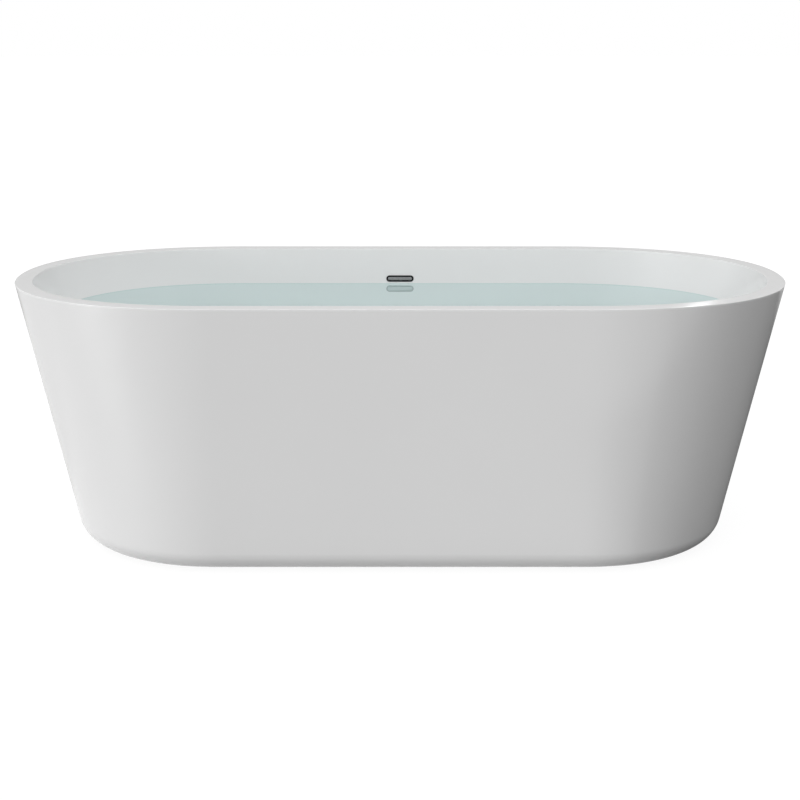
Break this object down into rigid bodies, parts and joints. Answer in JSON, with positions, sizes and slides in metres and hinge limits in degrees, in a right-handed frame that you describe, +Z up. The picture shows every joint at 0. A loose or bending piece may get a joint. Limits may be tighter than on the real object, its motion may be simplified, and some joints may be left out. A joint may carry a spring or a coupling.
{
  "type": "freestanding bathtub",
  "caption": "Oval freestanding soaking tub with straight tapered sides, flat rim, slot overflow, click-up waste and a framed base on screw feet.",
  "frame": {"origin": "on the floor, under the middle of the tub and in line with the waste", "axes": "+X along the tub, +Y towards the overflow, +Z up"},
  "size_m": [1.7, 0.75, 0.58],
  "materials": {
    "acrylic": "gloss",
    "plywood": "raw",
    "frame_paint": "satin",
    "zinc_steel": "satin",
    "black_plastic": "matte",
    "waste_plastic": "satin",
    "rubber": "matte",
    "chrome": "polished",
    "dark_chrome": "gloss",
    "brass": "satin"
  },
  "bodies": {
    "tub": {"basin_shell": "acrylic", "outer_skirt": "acrylic", "rim_battens": "plywood", "support_board": "plywood", "frame_rails": "frame_paint", "frame_crossbars": "frame_paint", "rail_caps": "black_plastic", "board_screws": "zinc_steel", "skirt_brackets": "zinc_steel", "bracket_bolts": "zinc_steel", "bracket_screws": "zinc_steel", "weld_nuts": "frame_paint", "lock_nuts": "zinc_steel", "drain_flange": "chrome", "flange_seal": "rubber", "body_seal": "rubber", "drain_body": "waste_plastic", "tail_washer": "rubber", "tail_nut": "waste_plastic", "tail_pipe": "chrome", "click_sleeve": "brass", "click_spring": "zinc_steel", "overflow_frame": "dark_chrome", "overflow_plate": "chrome", "overflow_screws": "zinc_steel", "overflow_gasket": "rubber", "overflow_housing": "black_plastic", "overflow_pipe": "waste_plastic", "overflow_elbow": "waste_plastic", "cross_pipe": "waste_plastic", "inlet_washer": "rubber", "inlet_nut": "waste_plastic"},
    "stopper": {"stopper_stem": "brass", "stopper_cap": "chrome", "stopper_seal": "rubber"},
    "foot_1": {"foot_stud_1": "zinc_steel", "foot_pad_1": "black_plastic"},
    "foot_2": {"foot_stud_2": "zinc_steel", "foot_pad_2": "black_plastic"},
    "foot_3": {"foot_stud_3": "zinc_steel", "foot_pad_3": "black_plastic"},
    "foot_4": {"foot_stud_4": "zinc_steel", "foot_pad_4": "black_plastic"}
  },
  "joints": [
    {"name": "stopper_lift", "type": "slide", "parent": "tub", "child": "stopper", "axis": [0, 0, 1], "range_m": [0, 0.008], "deforming": ["click_spring"]},
    {"name": "foot_1_screw", "type": "slide", "parent": "tub", "child": "foot_1", "axis": [0, 0, -1], "range_m": [0, 0.02]},
    {"name": "foot_2_screw", "type": "slide", "parent": "tub", "child": "foot_2", "axis": [0, 0, -1], "range_m": [0, 0.02]},
    {"name": "foot_3_screw", "type": "slide", "parent": "tub", "child": "foot_3", "axis": [0, 0, -1], "range_m": [0, 0.02]},
    {"name": "foot_4_screw", "type": "slide", "parent": "tub", "child": "foot_4", "axis": [0, 0, -1], "range_m": [0, 0.02]}
  ]
}
